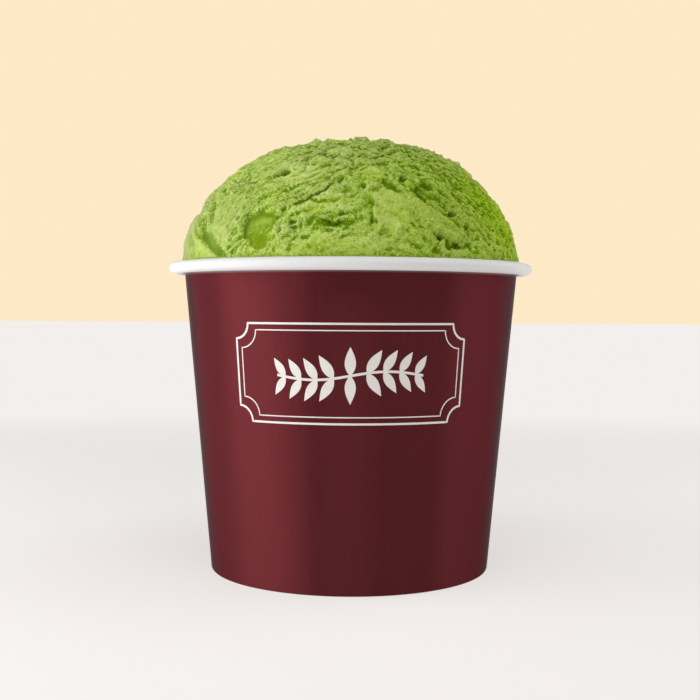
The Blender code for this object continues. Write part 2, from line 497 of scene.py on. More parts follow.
class OBJECT_OT_tub_wall(bpy.types.Operator):
    """Make the tub's side wall with its rolled rim, folded foot and side seam"""

    bl_idname = "object.tub_wall"
    bl_label = "Tub Wall"

    def execute(self, context):
        tub = context.scene.tub
        outline = board_outline(board_path(tub), tub.board)
        grid, azimuth = turn_outline(outline, WALL_COLUMNS)
        past_wall = (outline[:, 0] - wall_inner(tub, outline[:, 1])) / tub.board
        below_rim = (RIM_TOP - outline[:, 1]) / tub.roll_height
        fade = ease(0.4 * MM, 1.5 * MM, outline[:, 1]) * ((past_wall > 0.6) & (below_rim > 1))
        waver = 0.03 * MM * layered_noise(grid.reshape(-1, 3) / (18 * MM), 5, 2).reshape(grid.shape[:2])
        lifted = fade[:, None] * (seam_rise(tub, azimuth, tub.foot_radius) + waver)
        away = np.stack([np.sin(azimuth), -np.cos(azimuth), 0 * azimuth], axis=1)
        grid = grid + lifted[:, :, None] * away[None]
        faces = quads(len(outline), WALL_COLUMNS, True, True)
        made = new_piece("tub_wall", grid.reshape(-1, 3), faces, board_material(tub))
        outer_face = np.arange(len(outline)) >= len(outline) // 2
        printed = outer_face & (past_wall > 0.4) & (below_rim > 0.9)
        set_attribute(made, "printed", np.repeat(printed.astype(float), WALL_COLUMNS))
        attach(made, "root")
        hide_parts("cup_wall")
        return {"FINISHED"}


class OBJECT_OT_tub_base(bpy.types.Operator):
    """Make the tub's raised base disc and its skirt"""

    bl_idname = "object.tub_base"
    bl_label = "Tub Base"

    def execute(self, context):
        tub = context.scene.tub
        corner, floor = 0.9 * MM, BASE_TOP - tub.board
        inside = corner - tub.board
        low = tub.board + GAP
        outer = wall_inner(tub, low) - GAP
        flat = wall_inner(tub, BASE_TOP) - GAP - corner
        bend = (flat, BASE_TOP - corner)
        outline = np.vstack([
            np.linspace((1 * MM, BASE_TOP), (flat, BASE_TOP), 20)[:-1],
            arc(bend, (corner, corner), math.pi / 2, 0, 8),
            [(outer, low), (outer - tub.board, low)],
            arc(bend, (inside, inside), 0, math.pi / 2, 8),
            np.linspace((flat, floor), (1 * MM, floor), 20)[1:],
        ])
        grid, _ = turn_outline(outline, BASE_COLUMNS)
        points = np.vstack([grid.reshape(-1, 3), [(0, 0, BASE_TOP), (0, 0, floor)]])
        ring = np.arange(BASE_COLUMNS)
        above, below = len(points) - 2, len(points) - 1
        faces = quads(len(outline), BASE_COLUMNS, False, True)
        faces += fan(above, ring) + fan(below, ring[::-1] + (len(outline) - 1) * BASE_COLUMNS)
        made = new_piece("tub_base", points, faces, white_board_material(tub))
        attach(made, "root")
        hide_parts("cup_base")
        return {"FINISHED"}


# ---------------------------------------------------------------- print

INK_LIFT = 0.04 * MM  # how far the ink stands out from the wall
LINE_GAP = 1.7 * MM  # from the panel's outer line to its inner line
NOTCH = 4.0 * MM  # radius of the panel's cut corners
STEM_HALF = 19.0 * MM  # half the stem's length
STEM_DROP = -0.4 * MM  # its middle, against the panel's
STEM_WAVE = 1.1 * MM  # how far it swings up and down
LEAF_PAIRS = 4  # on each side of the middle pair
LEAF_SPACING = 4.2 * MM
LEAF_SIZE = 7.4 * MM
LEAF_SHRINK = 0.45 * MM  # from each pair to the next, outwards
LEAF_LEAN = math.radians(58)  # away from the stem


def ribbon(line, width, closed):
    """Two edges of a flat line of even width: the path moved half the width to each side."""
    ahead = np.roll(line, -1, axis=0) - line
    behind = line - np.roll(line, 1, axis=0)
    if not closed:
        ahead[-1] = behind[-1]
        behind[0] = ahead[0]
    along = unit(unit(ahead) + unit(behind))
    aside = np.stack([-along[:, 1], along[:, 0]], axis=1) * width / 2
    return line + aside, line - aside


def panel_line(width, height, notch):
    """Rectangle with its corners cut by quarter circles that bulge inwards, with points all along."""
    line = np.vstack([
        arc((sx * width / 2, sy * height / 2), (notch, notch), start, start - math.pi / 2, 13)
        for sx, sy, start in (
            (1, 1, 1.5 * math.pi), (-1, 1, 0), (-1, -1, 0.5 * math.pi), (1, -1, math.pi),
        )
    ])
    dense = []
    for start, end in zip(line, np.roll(line, -1, axis=0)):
        count = max(1, int(np.linalg.norm(end - start) / (0.8 * MM)))
        dense.append(np.linspace(start, end, count, endpoint=False))
    return np.vstack(dense)


def stem_height(x):
    """The sprig's stem: one whole wave of a sine from end to end."""
    return STEM_DROP + STEM_WAVE * np.sin(x / STEM_HALF * math.pi)


def leaf_edges(base, turn, size):
    """Upper and lower edge of a pointed leaf: its width follows sin(pi t^0.8) along a straight
    midrib, turned about its base."""
    t = np.linspace(0, 1, 15)
    half = 0.19 * size * np.sin(math.pi * t**0.8)
    c, s = math.cos(turn), math.sin(turn)
    spin = np.array([(c, -s), (s, c)])
    return [np.stack([t * size, side * half], axis=1) @ spin.T + base for side in (1, -1)]


def sprig_leaves():
    """Pairs of leaves along the stem, smaller towards its ends and leaning outwards; the middle pair
    stands straight up and down."""
    for k in range(-LEAF_PAIRS, LEAF_PAIRS + 1):
        x = k * LEAF_SPACING
        for side in (1, -1):
            turn = math.pi / 2 + (LEAF_LEAN - math.pi / 2) * np.sign(k)
            yield leaf_edges((x, stem_height(x)), side * turn, LEAF_SIZE - LEAF_SHRINK * abs(k))


class OBJECT_OT_tub_print(bpy.types.Operator):
    """Print a plain panel with a leaf sprig on the front of the tub"""

    bl_idname = "object.tub_print"
    bl_label = "Tub Print"

    def execute(self, context):
        """Each line or leaf is a band between two edges, made solid by carrying its four-cornered
        section along; its lower face lies just inside the wall."""
        tub, ink = context.scene.tub, context.scene.tub_print
        bands = []
        for inset, line in ((0, ink.line), (LINE_GAP, ink.line * 0.55)):
            path = panel_line(ink.width - 2 * inset, ink.height - 2 * inset, NOTCH + inset * 0.4)
            bands.append((*ribbon(path, line, True), True))
        across = np.linspace(-STEM_HALF, STEM_HALF, 60)
        stem = np.stack([across, stem_height(across)], axis=1)
        bands.append((*ribbon(stem, ink.line * 1.2, False), False))
        bands += [(*edges, False) for edges in sprig_leaves()]
        points, faces, start = [], [], 0
        for first, second, closed in bands:
            count = len(first)
            high, low = INK_LIFT, -INK_LIFT / 2
            section = ((first, high), (second, high), (second, low), (first, low))
            points += [self.on_wall(tub, ink, edge, lift) for edge, lift in section]
            faces += (np.array(quads(4, count, True, closed)) + start).tolist()
            if not closed:
                end = start + count * np.arange(4)
                faces += [end[::-1].tolist(), (end + count - 1).tolist()]
            start += 4 * count
        made = new_piece("tub_print", np.vstack(points), faces, ink_material(ink), smooth=False)
        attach(made, "root")
        return {"FINISHED"}

    def on_wall(self, tub, ink, flat, lift):
        """Wraps flat points on the wall: x is arc length at the panel's middle, y is height."""
        z = ink.middle + flat[:, 1]
        radius = wall_inner(tub, z) + tub.board + lift
        azimuth = flat[:, 0] / wall_inner(tub, ink.middle)
        return np.stack([radius * np.sin(azimuth), -radius * np.cos(azimuth), z], axis=1)


# ---------------------------------------------------------------- ice cream
# Places on the dome are (azimuth, elevation) in degrees: from the front towards the right, and up
# from the dome's centre. Sizes are in mm. A slope is the turn of a mark's long axis, up to the right.

# Groups of oval pits: place, slope, half length, half width, depth, and how soft the edge is (0.1 is
# a cliff).
PITS = {
    "left": [
        ((-29.2, 44.4), 5, 1.55, 1.6, 2.3, 0.45), ((-31.8, 42.6), 40, 1.6, 1.1, 0.7, 0.8),
        ((-40.8, 27.2), 35, 0.8, 0.4, 0.9, 0.5),
    ],
    "right_of_oval": [
        ((-23.1, 29.7), 50, 0.9, 0.5, 0.8, 0.4), ((-18.8, 25.6), 10, 0.9, 0.6, 1.0, 0.5),
        ((-18.3, 23.7), 0, 0.8, 0.4, 0.9, 0.5), ((-22.9, 22.8), 70, 0.6, 0.4, 0.6, 0.5),
        ((-14.3, 20.6), 0, 0.9, 0.5, 0.7, 0.8), ((-17.6, 20.3), 40, 0.7, 0.5, 0.6, 0.8),
    ],
    "middle": [
        ((-2.3, 28.0), 10, 1.1, 0.6, 0.8, 0.6), ((-3.9, 40.3), 65, 1.2, 0.6, 1.0, 0.6),
        ((-5.6, 32.7), 15, 1.8, 0.7, 0.5, 0.8), ((-2.5, 35.3), 0, 1.0, 0.7, 0.5, 0.8),
    ],
    "low": [
        ((-6.5, 22.6), 5, 0.9, 0.3, 0.6, 0.5), ((-2.9, 20.6), 5, 1.1, 0.35, 0.45, 0.6),
        ((-19.1, 16.7), 60, 0.8, 0.5, 0.4, 0.9), ((-24.2, 16.7), 90, 0.8, 0.4, 0.35, 0.9),
        ((-42.2, 18.1), 60, 0.7, 0.5, 0.8, 0.5), ((-40.3, 16.6), 75, 0.9, 0.5, 0.8, 0.5),
    ],
    "round_right": [((36.9, 29.2), 0, 1.0, 0.9, 1.5, 0.35)],
    "under_crumbs": [
        ((29.5, 20.9), -20, 0.8, 0.5, 0.6, 0.45), ((31.9, 18.4), 0, 1.0, 0.6, 0.8, 0.45),
        ((27.0, 16.8), 20, 1.1, 0.9, 1.0, 0.45), ((32.2, 17.4), 0, 1.0, 0.6, 1.0, 0.5),
        ((35.5, 18.8), 20, 1.8, 1.1, 0.9, 0.5),
    ],
    "right_of_crumbs": [((40.9, 18.6), 70, 1.2, 0.6, 1.0, 0.5), ((41.3, 24.6), 60, 1.1, 0.5, 0.9, 0.5)],
    "face_edge": [((6.5, 25.8), 80, 0.8, 0.4, 0.8, 0.5)],
    "top": [
        ((5.4, 52.1), 35, 1.2, 0.6, 1.2, 0.5), ((16.6, 57.2), 40, 1.1, 0.7, 1.2, 0.5),
        ((13.1, 54.4), 20, 1.0, 0.5, 1.0, 0.5), ((1.0, 45.8), 30, 1.2, 0.5, 1.0, 0.5),
        ((-12.2, 57.5), 40, 1.6, 0.6, 1.1, 0.5), ((-20.6, 53.7), 30, 1.4, 0.5, 0.9, 0.5),
    ],
    "curl_hole": [((25.4, 57.4), 20, 1.4, 0.9, 1.1, 0.5)],
    "left_patch": [
        ((-60.2, 46.9), 60, 1.0, 0.6, 1.1, 0.5), ((-51.5, 44.8), 0, 0.8, 0.6, 0.9, 0.5),
        ((-50.3, 40.6), 80, 1.0, 0.6, 1.1, 0.5), ((-61.4, 38.5), 0, 0.9, 0.6, 0.9, 0.5),
        ((-49.3, 37.0), 30, 0.7, 0.5, 0.7, 0.5), ((-42.2, 40.5), 20, 0.8, 0.5, 0.8, 0.5),
    ],
    "far_right": [
        ((66.4, 35.5), 80, 0.9, 0.5, 0.9, 0.5), ((63.0, 32.6), 60, 0.7, 0.4, 0.7, 0.5),
        ((64.7, 20.5), 70, 1.3, 0.5, 1.1, 0.5),
    ],
    "side": [
        ((96.0, 47.0), 20, 2.2, 1.2, 1.5, 0.35), ((118.0, 22.0), 70, 1.4, 0.9, 1.3, 0.4),
        ((-118.0, 27.0), 30, 3.1, 2.2, 1.4, 0.2), ((-98.0, 52.0), 60, 1.6, 1.0, 1.3, 0.4),
    ],
}

# Closed outlines that sink (or stand out, with a negative depth): corners, depth, width of the
# wall, the way in which they get deeper (a turn in degrees), by what share, and how smooth inside.
BASINS = {
    "oval": (
        [(-37.2, 27.7), (-35.2, 28.1), (-33.1, 28.4), (-31.1, 29.0), (-28.8, 28.7), (-26.0, 28.2),
         (-25.4, 26.9), (-25.2, 25.1), (-25.9, 23.4), (-26.9, 21.4), (-27.0, 19.3), (-27.2, 17.3),
         (-29.0, 16.5), (-31.0, 16.7), (-32.7, 17.8), (-33.7, 19.4), (-34.7, 20.1), (-36.3, 20.4),
         (-36.9, 22.9), (-37.1, 25.5)],
        0.85, 0.19, 135, 0.45, 1.0,
    ),
    "long_hollow": (
        [(22.8, 36.9), (25.0, 38.3), (27.1, 39.7), (29.8, 41.4), (31.3, 41.0), (31.2, 38.9),
         (34.6, 38.6), (37.1, 37.8), (38.1, 35.4), (38.5, 33.1), (39.3, 31.4), (38.2, 29.2),
         (35.5, 28.2), (34.9, 29.4), (32.2, 29.3), (30.0, 30.3), (28.0, 31.6), (26.0, 33.1),
         (23.9, 33.5), (22.9, 35.5)],
        1.6, 0.25, 210, 0.8, 0.0,
    ),
    "triangle": (
        [(18.0, 40.0), (19.5, 41.8), (21.0, 43.1), (22.1, 40.9), (20.8, 39.7), (18.6, 39.2)],
        1.5, 0.35, 90, 0.2, 0.2,
    ),
    "flap": (
        [(6.2, 46.4), (10.4, 47.6), (12.2, 44.1), (13.1, 40.3), (10.1, 37.9), (8.0, 35.9), (6.2, 35.4),
         (4.6, 37.8), (3.8, 40.9), (3.5, 43.8)],
        -0.7, 0.25, -60, 0.9, 0.45,
    ),
    "side_lobe": (
        [(-84.0, 31.0), (-71.1, 28.6), (-66.4, 26.5), (-62.0, 24.2), (-58.4, 22.1), (-54.7, 19.7),
         (-50.9, 17.6), (-46.5, 15.8), (-41.4, 14.7), (-41.5, 8.0), (-114.0, 8.0), (-113.0, 19.0),
         (-105.0, 23.5), (-95.0, 28.0)],
        -0.75, 0.9, 250, 0.2, 0.7,
    ),
    "side_right_plate": (
        [(80.0, 41.0), (92.0, 37.0), (104.0, 30.0), (108.0, 22.0), (96.0, 20.0), (84.0, 28.0),
         (78.0, 34.0)],
        0.9, 0.35, 230, 0.6, 0.5,
    ),
}

# Ledges: path with the raised side on its left hand, height and reach of that side, depth and
# reach of the other side, and how far the lip hangs over.
LEDGES = {
    "scoop": (
        [(-22.7, 30.2), (-21.8, 30.5), (-20.0, 31.2), (-18.0, 32.2), (-16.1, 33.2), (-14.8, 34.1),
         (-13.2, 34.8), (-11.5, 35.7), (-9.9, 36.8), (-8.2, 38.2), (-6.9, 39.4), (-5.5, 40.8)],
        0.3, 3.0, 1.0, 0.9, 0.35,
    ),
    "scoop_flap": (
        [(-14.8, 33.9), (-12.9, 33.1), (-11.0, 32.6), (-9.3, 32.7), (-8.0, 33.3)],
        0.25, 1.6, 0.6, 0.8, 0.25,
    ),
    "crevice": (
        [(-11.9, 26.6), (-10.4, 26.7), (-9.0, 26.9), (-7.5, 26.4), (-5.5, 25.9), (-4.2, 26.1),
         (-2.7, 26.2), (-0.4, 25.7), (2.2, 25.3)],
        0.1, 2.6, 1.3, 1.45, 0.15,
    ),
    "crevice_right": ([(-4.6, 28.9), (-2.7, 29.1), (-0.4, 28.4)], 0.1, 2.0, 0.5, 0.9, 0.15),
    "face": (
        [(6.1, 35.7), (7.4, 32.6), (7.9, 31.0), (7.4, 28.9), (7.4, 26.4), (8.6, 24.1), (8.2, 21.8)],
        0.5, 3.6, 0.35, 2.2, 0.15,
    ),
    "crumb_ridge": (
        [(26.6, 23.9), (28.3, 22.4), (31.0, 20.8), (33.8, 19.6), (36.7, 20.1), (39.4, 22.6)],
        1.1, 1.3, 0.6, 1.6, 0.6,
    ),
    "top_left": (
        [(-26.7, 49.8), (-21.5, 52.3), (-16.0, 53.6), (-10.5, 55.5)],
        0.45, 1.6, 0.6, 1.2, 0.35,
    ),
    "top_right": ([(2.2, 49.7), (7.8, 50.7), (13.6, 52.8), (18.5, 54.5)], 0.45, 1.4, 0.7, 1.2, 0.4),
    "knob_edge": ([(10.0, 60.0), (22.0, 62.0), (34.0, 62.0), (44.0, 59.0)], 0.4, 1.6, 0.5, 1.6, 0.35),
    "side_left": (
        [(-124.0, 38.0), (-116.0, 41.0), (-108.0, 45.0), (-100.0, 50.0)],
        0.55, 2.6, 0.9, 2.2, 0.45,
    ),
    "side_right": ([(70.0, 47.0), (80.0, 50.0), (90.0, 55.0), (102.0, 57.0)], 0.5, 2.2, 0.8, 2.0, 0.45),
}

# Ridges (or creases, with a negative height): path, height and half width.
RIDGES = {
    "left_thin": (
        [(-70.2, 37.1), (-63.5, 33.4), (-59.7, 29.9), (-57.5, 26.6), (-55.9, 23.9)],
        0.8, 0.42,
    ),
    "left_thin_crease": ([(-62.8, 35.7), (-57.9, 31.5), (-55.6, 27.9), (-54.0, 25.1)], -0.35, 0.6),
    "fold": ([(-60.5, 24.1), (-56.6, 21.7), (-52.1, 18.9), (-47.3, 16.7), (-41.5, 15.3)], -0.95, 1.2),
    "crevice_crest": (
        [(-9.8, 24.0), (-7.8, 23.7), (-5.7, 24.0), (-3.5, 24.2), (-1.0, 23.9), (2.1, 23.4)],
        0.3, 0.5,
    ),
    "lobe_light": ([(-70.0, 27.5), (-70.1, 25.1), (-62.9, 21.5), (-58.8, 18.6)], 0.4, 1.0),
    "face_crest": (
        [(6.1, 34.9), (7.7, 32.3), (8.1, 31.0), (7.6, 28.9), (7.6, 26.5), (8.9, 24.1), (8.3, 21.8)],
        0.45, 0.45,
    ),
    "hollow_crease": (
        [(24.3, 36.5), (26.1, 33.3), (29.2, 30.6), (32.6, 28.7), (36.1, 27.9)],
        -0.75, 0.65,
    ),
    "crumb_strand_1": ([(31.6, 22.9), (33.3, 21.7), (35.7, 21.5)], 0.9, 0.6),
    "crumb_strand_2": ([(35.7, 21.5), (37.8, 22.8), (39.1, 24.2)], 0.8, 0.55),
    "crumb_strand_3": ([(30.0, 20.7), (29.9, 18.2), (28.5, 16.4)], 0.8, 0.6),
    "crumb_strand_4": ([(26.3, 26.2), (28.3, 25.0), (29.7, 23.1)], 0.6, 0.55),
    "crest": ([(20.4, 34.8), (22.6, 30.6), (26.6, 27.0), (31.2, 24.6)], 0.75, 1.3),
    "mound_rim": (
        [(8.8, 19.2), (10.7, 19.1), (12.2, 19.6), (13.9, 21.0), (15.3, 23.2), (14.8, 25.2)],
        0.75, 0.7,
    ),
    "curl": ([(20.0, 55.7), (23.9, 58.6), (27.6, 60.2), (29.4, 58.7), (27.2, 56.0)], 0.8, 0.55),
    "smooth_curl": ([(28.9, 54.3), (25.9, 50.4), (24.2, 47.1)], 0.6, 1.1),
    "striae_1": ([(-26.4, 34.4), (-21.3, 35.5), (-16.7, 37.9), (-12.1, 40.9)], 0.4, 0.4),
    "striae_2": ([(-25.6, 32.5), (-20.1, 34.0), (-15.6, 36.2), (-10.5, 39.5)], 0.38, 0.35),
    "striae_3": ([(-23.5, 37.6), (-18.8, 39.0), (-14.7, 40.8)], 0.45, 0.38),
    "striae_4": ([(-24.7, 40.2), (-21.1, 41.0), (-16.9, 42.2)], 0.35, 0.35),
    "low_left_bump": ([(-38.1, 16.8), (-36.1, 16.6)], 0.55, 0.9),
    "dimple_rim_1": ([(25.8, 29.4), (26.6, 27.1), (27.9, 25.0)], 0.35, 0.4),
    "dimple_rim_2": ([(27.6, 29.6), (28.8, 27.7), (29.4, 25.6)], 0.35, 0.4),
    "lobe_band": (
        [(-69.3, 27.4), (-62.9, 24.6), (-58.4, 22.1), (-54.7, 19.7), (-50.9, 17.6), (-46.5, 15.8)],
        0.4, 0.65,
    ),
    "lobe_groove": ([(-76.1, 31.1), (-70.0, 29.1), (-65.0, 27.0)], -0.15, 0.7),
}

# Soft dents (or swellings, with a negative depth): place, slope, half length, half width, depth.
DENTS = {
    "under_ledge": ((-13.0, 29.9), 20, 7.0, 2.4, 0.55),
    "above_crevice": ((-5.9, 28.3), 3, 4.6, 1.5, 0.65),
    "flap_shadow": ((15.0, 37.6), -35, 3.0, 1.5, 1.5),
    "crevice_shade": ((-5.6, 25.2), 3, 4.2, 1.2, 0.7),
    "concave": ((10.4, 22.1), 70, 2.5, 1.7, 0.85),
    "dimple": ((27.5, 27.3), -60, 1.4, 0.6, 0.5),
    "right_shade": ((37.5, 18.1), 20, 4.4, 2.4, 1.1),
    "face_swell": ((14.3, 29.6), 70, 6.0, 4.5, -0.7),
    "right_crumb_swell": ((32.1, 22.9), -30, 4.6, 2.2, -0.8),
    "knob_right": ((52.3, 76.2), 0, 2.4, 2.1, -1.1),
    "knob_left": ((-43.0, 78.4), 0, 2.2, 1.8, -0.7),
    "outline_dip_top": ((0.0, 83.0), 0, 8.0, 8.0, 0.38),
    "outline_dip_left": ((-64.5, 70.2), 0, 3.6, 3.0, 0.8),
    "outline_bump_left": ((-79.0, 37.0), 0, 4.2, 3.6, -0.35),
    "outline_notch": ((-84.0, 32.4), 0, 4.0, 1.2, 0.6),
    "outline_dip_right": ((72.5, 60.9), 0, 5.0, 5.0, 0.35),
    "outline_dip_low_right": ((78.8, 41.5), 0, 3.0, 3.0, 0.45),
    "outline_dip_rim_right": ((81.0, 19.8), 0, 4.0, 3.0, 0.5),
    "back_swell": ((-150.0, 42.0), -28, 9.0, 4.0, -0.8),
    "back_dent": ((-128.0, 34.0), 40, 6.5, 3.6, 1.0),
}

# Areas with a finish of their own: place, slope, half length and half width; streaked ones also
# have how far apart the streaks are, their height, and how many times longer than apart they are.
CRUMBLY = {
    "top_front": ((1.0, 57.0), 0, 21.0, 8.5),
    "top": ((20.0, 84.0), 0, 17.0, 15.0),
    "left_patch": ((-54.6, 41.8), 25, 5.6, 4.4),
    "beside_oval": ((-18.8, 23.3), 75, 5.0, 2.6),
    "right_crumbs": ((32.5, 22.3), -30, 6.5, 3.4),
    "right_rim": ((33.4, 17.2), 0, 9.0, 2.4),
    "right_flank": ((42.8, 22.3), 60, 4.5, 3.0),
    "beside_triangle": ((18.8, 45.5), 40, 5.5, 3.2),
    "side_right": ((88.0, 52.0), 20, 9.0, 4.5),
    "side_right_low": ((112.0, 26.0), 40, 7.0, 4.0),
    "side_left": ((-104.0, 44.0), -20, 8.0, 4.5),
    "back": ((171.0, 46.0), 15, 14.0, 5.5),
}
STREAKED = {
    "above_ledge": ((-17.7, 37.1), 34, 8.5, 4.6, 0.85, 0.52, 8),
    "crevice": ((-2.5, 23.1), 3, 7.5, 2.4, 0.6, 0.22, 9),
    "lobe": ((-80.0, 21.0), 82, 11.0, 12.0, 1.1, 0.4, 6),
    "face": ((14.4, 30.6), 68, 7.5, 5.0, 0.95, 0.2, 9),
    "left": ((-47.2, 26.5), 78, 6.0, 7.0, 1.1, 0.16, 9),
    "top_left": ((-43.0, 56.0), 30, 8.0, 6.0, 1.3, 0.12, 9),
    "side_right": ((70.3, 27.7), 60, 8.0, 6.0, 0.9, 0.16, 9),
    "side_right_top": ((100.0, 40.0), 40, 8.0, 5.0, 0.9, 0.26, 9),
    "side_left": ((-112.0, 34.0), 30, 8.0, 6.0, 0.9, 0.24, 9),
    "back": ((-150.0, 28.0), 25, 10.0, 5.0, 0.9, 0.22, 9),
    "back_right": ((135.0, 24.0), 60, 9.0, 6.0, 1.0, 0.14, 9),
    "top": ((6.0, 60.0), 42, 20.0, 9.0, 2.1, 1.05, 3),
    "right_upper": ((46.0, 44.0), -40, 10.0, 7.0, 1.1, 0.3, 3),
}
SMOOTH = {
    "left_top": ((-49.0, 54.0), 20, 7.0, 5.0),
    "left": ((-49.0, 27.0), 80, 8.5, 6.5),
    "low_middle": ((-9.0, 17.6), 0, 13.0, 3.4),
    "top_left": ((-22.0, 49.0), 12, 7.0, 4.0),
    "above_striae": ((-19.5, 43.0), 25, 5.5, 3.6),
    "under_ledge": ((-12.5, 30.3), 22, 6.5, 2.6),
    "face": ((12.5, 29.7), 72, 7.5, 4.2),
    "lobe": ((-84.0, 22.0), 80, 9.0, 12.0),
    "back_right": ((138.0, 24.0), 60, 8.0, 5.0),
}

# Painted light and shade by place: where the cream is painted paler, a painted highlight, or deeper
# with a negative amount, a painted shade: place, slope, half length, half width and amount.
PAINTED_LIGHT_AND_SHADE = {
    "crest": ((28.5, 27.0), -50, 7.0, 3.4, 0.9),
    "ridge": ((32.0, 22.0), -20, 6.0, 2.6, 0.9),
    "face_low": ((11.3, 21.0), 0, 6.0, 3.0, 0.4),
    "face": ((11.5, 31.5), 70, 5.0, 3.6, 0.06),
    "top_left": ((-13.0, 51.5), 10, 13.0, 6.0, 0.42),
    "oval_low": ((-31.0, 19.0), 0, 2.6, 2.2, -0.02),
    "oval_high": ((-34.0, 26.2), 45, 2.4, 1.7, 0.06),
    "hollow_edge": ((29.8, 31.2), -42, 6.0, 1.1, -0.5),
    "hollow_right": ((34.5, 33.0), -42, 4.0, 2.2, 0.3),
    "under_ledge": ((-13.6, 28.9), 20, 5.0, 2.2, -0.05),
    "right_of_oval": ((-19.5, 23.4), 75, 3.2, 2.0, 0.14),
    "left_low": ((-35.0, 18.7), 60, 4.0, 2.6, 0.12),
    "low_middle": ((-8.0, 17.5), 0, 11.0, 3.0, -0.06),
    "flank": ((-70.0, 34.0), 60, 6.5, 5.0, 0.6),
    "lobe": ((-66.0, 20.0), 70, 7.0, 6.0, -0.2),
    "left": ((-47.0, 33.0), 60, 10.0, 6.5, -0.12),
    "right": ((54.0, 39.0), -60, 14.0, 8.0, -0.16),
    "top_right": ((46.0, 53.0), -40, 10.0, 6.0, -0.14),
    "crevice": ((-5.0, 25.5), 3, 5.5, 1.6, -1.2),
    "hollow_left": ((25.2, 36.0), -50, 2.8, 1.8, -0.62),
    "fold": ((-49.6, 18.8), -38, 5.0, 1.2, -1.6),
    "small_left": ((-28.7, 44.2), 0, 1.7, 1.5, -0.18),
    "flap_shadow": ((14.6, 37.6), -35, 3.0, 1.6, -0.15),
}

# Where the cream turns a yellower green, partly its own colour and partly painted shade over the right
# side, or is milky where the scoop smeared it and, as a painted sheen, on the upper left flank: full
# amount, place, slope, half length, half width.
COLOUR_AREAS = {
    "lime_and_right_shade": ((0.9, (61, 29), -62, 18, 11), (0.5, (42, 26), 0, 28, 26)),
    "smear_and_sheen": (
        (0.9, (-80, 20), 75, 14, 15), (0.4, (-48, 29), 80, 12, 10), (0.6, (-70, 35), 60, 6, 4),
    ),
}

FAR = 99.0  # stands for any distance past reach


def with_twin(name, places, way=0):
    """A path or outline and its way; those of the front also once more on the far side of the dome,
    with the left hand still on the left."""
    once = [(places, way)]
    if name.startswith("side"):
        return once
    twin = [(185.0 - azimuth, elevation - 2.0) for azimuth, elevation in reversed(places)]
    return once + [(twin, 180 - way)]


def aim(azimuth, elevation):
    """Unit vectors for azimuth and elevation in degrees."""
    a, e = np.radians(azimuth), np.radians(elevation)
    return np.stack([np.sin(a) * np.cos(e), -np.cos(a) * np.cos(e), np.sin(e)], axis=-1)


def seen_from(points, place, slope, radius):
    """Distances along and aside of a mark's long axis, in the plane that touches the dome at a place,
    and whether a point is on that side of the dome at all."""
    out = aim(*place)
    level = aim(place[0] + 90, 0)
    rising = np.cross(out, level)
    across, up = points @ level, points @ rising
    turn = math.radians(slope)
    along = across * math.cos(turn) + up * math.sin(turn)
    aside = up * math.cos(turn) - across * math.sin(turn)
    return along, aside, points @ out > 0.55 * radius


def mark_offset(points, place, slope, half_length, half_width, radius):
    """How many half sizes a point is from the middle of an oval mark: 1 on its edge."""
    along, aside, facing = seen_from(points, place, slope, radius)
    return np.where(facing, np.hypot(along / half_length, aside / half_width), FAR)


def inside_outline(points, places, radius):
    """How far inside a closed outline each point is (negative outside) and its place in the outline's
    plane, in half widths: nearest edge for the distance, and the even-odd rule for the side."""
    corners = aim(*np.array(places).T) * radius
    middle = corners.mean(axis=0)
    azimuth = math.degrees(math.atan2(middle[0], -middle[1]))
    place = azimuth, math.degrees(math.asin(middle[2] / np.linalg.norm(middle)))
    x, y, facing = seen_from(points, place, 0, radius)
    cx, cy, _ = seen_from(corners, place, 0, radius)
    nearest = np.full(len(points), FAR)
    inside = np.zeros(len(points), bool)
    for ax, ay, bx, by in zip(cx, cy, np.roll(cx, -1), np.roll(cy, -1)):
        wide, high = bx - ax, by - ay
        t = np.clip(((x - ax) * wide + (y - ay) * high) / (wide**2 + high**2), 0, 1)
        nearest = np.minimum(nearest, np.hypot(x - ax - t * wide, y - ay - t * high))
        crosses = (ay > y) != (by > y)
        inside ^= crosses & (x < ax + (y - ay) * wide / (high or 1))
    size = max(np.abs(cx).max(), np.abs(cy).max())
    return np.where(facing, np.where(inside, nearest, -nearest), -FAR), x / size, y / size


def beside_path(points, places, radius, reach):
    """Points near a path over the dome: which they are, their distance from it (positive on its left
    hand), the share of the way along it, and the unit vector towards its left hand."""
    line = aim(*np.array(places).T) * radius
    steps = np.diff(line, axis=0)
    sizes = np.linalg.norm(steps, axis=1)
    near = np.flatnonzero(np.linalg.norm(points - line.mean(axis=0), axis=1) < 0.6 * sizes.sum() + reach)
    found = points[near]
    distance = np.full(len(found), FAR)
    side, share = np.ones(len(found)), np.zeros(len(found))
    left = np.zeros((len(found), 3))
    walked = 0.0
    for start, step, size in zip(line, steps, sizes):
        t = np.clip((found - start) @ step / size**2, 0, 1)
        gap = found - start - t[:, None] * step
        away = np.linalg.norm(gap, axis=1)
        hand = np.cross(start, step)
        hand /= np.linalg.norm(hand)
        closer = away < distance
        distance = np.where(closer, away, distance)
        side = np.where(closer, np.sign(gap @ hand), side)
        share = np.where(closer, (walked + t * size) / sizes.sum(), share)
        left = np.where(closer[:, None], hand, left)
        walked += size
    return near, distance * side, share, left


def box_blur(field, reach):
    """Mean over a square window of a grid, by running sums, with the edge repeated."""
    for axis in (0, 1):
        pad = [(reach + 1, reach) if k == axis else (0, 0) for k in range(2)]
        sums = np.cumsum(np.pad(field, pad, mode="edge"), axis=axis)
        size = field.shape[axis]
        high = np.take(sums, np.arange(2 * reach + 1, 2 * reach + 1 + size), axis=axis)
        low = np.take(sums, np.arange(size), axis=axis)
        field = (high - low) / (2 * reach + 1)
    return field


